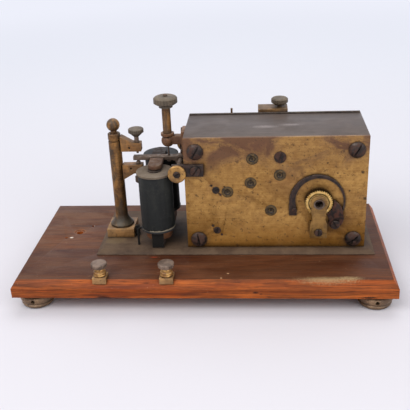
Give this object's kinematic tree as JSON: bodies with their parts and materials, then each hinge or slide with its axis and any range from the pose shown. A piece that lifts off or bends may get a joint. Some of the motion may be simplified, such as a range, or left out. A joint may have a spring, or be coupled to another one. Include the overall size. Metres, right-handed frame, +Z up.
{
  "type": "telegraph register",
  "caption": "Clockwork telegraph register with an armature lever over an upright electromagnet, a stop post, a winding ratchet and terminals on a bevelled wooden base with bun feet.",
  "frame": {"origin": "centre of the base's footprint, on the surface under the feet", "axes": "+Z up, +X towards the right end of the base as seen from the front plate, -Y towards the front"},
  "size_m": [0.3, 0.1446, 0.1536],
  "materials": {
    "wood_board": "worn dark varnish",
    "wood_deck": "dusty ebonised",
    "brass": "aged and dirty",
    "brass_bright": "worn bright",
    "steel_dark": "blued and dirty",
    "steel": "dull",
    "iron": "rust brown",
    "cover": "dull grey-brown",
    "paper": "black-green wrap",
    "cheek": "grey fibre disc"
  },
  "bodies": {
    "frame": {"base_board": "wood_board", "base_feet": "brass", "deck_plate": "wood_deck", "deck_screws": "steel_dark", "terminal_blocks": "brass", "front_plate": "brass", "back_plate": "brass", "case_pillars": "brass", "case_screws": "steel_dark", "dust_cover": "cover", "pivot_bushes": "brass", "fly_cocks": "brass", "winding_cock": "brass", "click_spring": "steel_dark", "front_screws": "steel_dark", "lever_cocks": "steel_dark", "lever_hubs": "brass", "lever_screws": "steel_dark", "magnet_cores": "iron", "magnet_yoke": "iron", "coil_cheeks": "cheek", "coil_wraps": "paper", "coil_leads": "paper", "stop_block": "brass", "stop_post": "brass", "upper_stop_arm": "brass", "lower_stop_arm": "brass", "tension_bracket": "brass", "tension_tube": "brass", "bracket_screws": "steel_dark", "rear_bracket": "brass", "paper_guide": "brass"},
    "lever": {"armature_lever": "steel", "armature": "iron", "lever_arbor": "steel"},
    "hook": {"spring_hook": "steel"},
    "upper_screw": {"upper_stop_screw": "steel"},
    "upper_knob": {"upper_stop_knob": "brass"},
    "lower_screw": {"lower_stop_screw": "steel"},
    "tension_knob": {"tension_knob": "brass"},
    "tension_rod": {"tension_rod": "steel", "tension_spring": "steel"},
    "washer_left": {"terminal_washer_left": "brass"},
    "nut_left": {"terminal_nut_left": "brass"},
    "washer_right": {"terminal_washer_right": "brass"},
    "nut_right": {"terminal_nut_right": "brass"},
    "winding": {"winding_arbor": "steel", "ratchet_wheel": "brass_bright"},
    "click": {"click": "steel_dark"},
    "barrel": {"mainspring_barrel": "brass"},
    "second": {"second_arbor": "brass_bright"},
    "third": {"third_arbor": "brass_bright"},
    "fourth": {"fourth_arbor": "brass_bright"},
    "feed": {"feed_arbor": "brass_bright"},
    "ink": {"ink_arbor": "brass_bright"},
    "fly": {"fly": "steel_dark"},
    "press_arm": {"press_arm": "brass"},
    "press_roll": {"press_roll": "brass_bright"},
    "press_screw": {"press_screw": "steel"},
    "press_knob": {"press_knob": "brass"}
  },
  "joints": [
    {"name": "lever_pivot", "type": "hinge", "parent": "frame", "child": "lever", "pos_m": [-0.019, 0.007, 0.0984], "axis": [0, 1, 0], "range_deg": [0, 3.5]},
    {"name": "hook_slide", "type": "slide", "parent": "frame", "child": "hook", "axis": [0, 0, 1], "range_m": [0, 0.00060496], "deforming": ["tension_spring"]},
    {"name": "upper_screw_slide", "type": "slide", "parent": "frame", "child": "upper_screw", "axis": [0, 0, 1], "range_m": [0, 0.002]},
    {"name": "upper_knob_turn", "type": "hinge", "parent": "upper_screw", "child": "upper_knob", "pos_m": [-0.0547, 0.007, 0.1215], "axis": [0, 0, 1], "range_deg": [0, 1440]},
    {"name": "lower_screw_slide", "type": "slide", "parent": "frame", "child": "lower_screw", "axis": [0, 0, 1], "range_m": [-0.0015, 0]},
    {"name": "tension_knob_turn", "type": "hinge", "parent": "frame", "child": "tension_knob", "pos_m": [-0.0289, 0.007, 0.1465], "axis": [0, 0, 1], "range_deg": [0, 1080]},
    {"name": "tension_rod_slide", "type": "slide", "parent": "frame", "child": "tension_rod", "axis": [0, 0, 1], "range_m": [0, 0.0018]},
    {"name": "washer_left_slide", "type": "slide", "parent": "frame", "child": "washer_left", "axis": [0, 0, 1], "range_m": [0, 0.0025]},
    {"name": "nut_left_turn", "type": "hinge", "parent": "washer_left", "child": "nut_left", "pos_m": [-0.0789, -0.0659, 0.038], "axis": [0, 0, 1], "range_deg": [0, 1125]},
    {"name": "washer_right_slide", "type": "slide", "parent": "frame", "child": "washer_right", "axis": [0, 0, 1], "range_m": [0, 0.0025]},
    {"name": "nut_right_turn", "type": "hinge", "parent": "washer_right", "child": "nut_right", "pos_m": [-0.0266, -0.0659, 0.038], "axis": [0, 0, 1], "range_deg": [0, 1125]},
    {"name": "winding_turn", "type": "hinge", "parent": "frame", "child": "winding", "pos_m": [0.0918, 0, 0.073], "axis": [0, 1, 0], "continuous": true},
    {"name": "click_lift", "type": "hinge", "parent": "frame", "child": "click", "pos_m": [0.1051, -0.024, 0.0538], "axis": [0, 1, 0], "range_deg": [0, 4.5]},
    {"name": "fourth_turn", "type": "hinge", "parent": "frame", "child": "fourth", "pos_m": [0.02, 0, 0.0809], "axis": [0, 1, 0], "continuous": true},
    {"name": "third_turn", "type": "hinge", "parent": "frame", "child": "third", "pos_m": [0.0384, 0, 0.0885], "axis": [0, 1, 0], "continuous": true},
    {"name": "second_turn", "type": "hinge", "parent": "frame", "child": "second", "pos_m": [0.0543, 0, 0.0645], "axis": [0, 1, 0], "continuous": true},
    {"name": "barrel_turn", "type": "hinge", "parent": "frame", "child": "barrel", "pos_m": [0.0918, 0, 0.073], "axis": [0, 1, 0], "continuous": true},
    {"name": "feed_turn", "type": "hinge", "parent": "frame", "child": "feed", "pos_m": [0.06132, 0, 0.09489], "axis": [0, 1, 0], "continuous": true},
    {"name": "ink_turn", "type": "hinge", "parent": "frame", "child": "ink", "pos_m": [0.03988, 0, 0.10867], "axis": [0, 1, 0], "continuous": true},
    {"name": "fly_turn", "type": "hinge", "parent": "frame", "child": "fly", "pos_m": [0.0108, -0.0089, 0.08], "axis": [0, 0, 1], "continuous": true},
    {"name": "press_arm_pivot", "type": "hinge", "parent": "frame", "child": "press_arm", "pos_m": [0.08532, 0.042, 0.10584], "axis": [0, 1, 0], "range_deg": [0, 2]},
    {"name": "press_roll_turn", "type": "hinge", "parent": "press_arm", "child": "press_roll", "pos_m": [0.06132, 0.05, 0.10584], "axis": [0, 1, 0], "continuous": true},
    {"name": "press_screw_slide", "type": "slide", "parent": "frame", "child": "press_screw", "axis": [0, 0, 1], "range_m": [0, 0.002]},
    {"name": "press_knob_turn", "type": "hinge", "parent": "press_screw", "child": "press_knob", "pos_m": [0.0628, 0.049, 0.131], "axis": [0, 0, 1], "range_deg": [0, 1028.6]}
  ],
  "couplings": [
    {"joint": "hook_slide", "follows": "lever_pivot", "m_per_rad": 0.0099},
    {"joint": "upper_screw_slide", "follows": "upper_knob_turn", "m_per_rad": 0.000079577},
    {"joint": "tension_rod_slide", "follows": "tension_knob_turn", "m_per_rad": 0.000095493},
    {"joint": "washer_left_slide", "follows": "nut_left_turn", "m_per_rad": 0.00012732},
    {"joint": "washer_right_slide", "follows": "nut_right_turn", "m_per_rad": 0.00012732},
    {"joint": "press_screw_slide", "follows": "press_knob_turn", "m_per_rad": 0.00011141},
    {"joint": "barrel_turn", "follows": "second_turn", "ratio": -0.16667},
    {"joint": "third_turn", "follows": "second_turn", "ratio": -5},
    {"joint": "fourth_turn", "follows": "second_turn", "ratio": 20.833},
    {"joint": "feed_turn", "follows": "second_turn", "ratio": -3.3333},
    {"joint": "ink_turn", "follows": "second_turn", "ratio": 19.231},
    {"joint": "fly_turn", "follows": "second_turn", "ratio": -333.33}
  ]
}
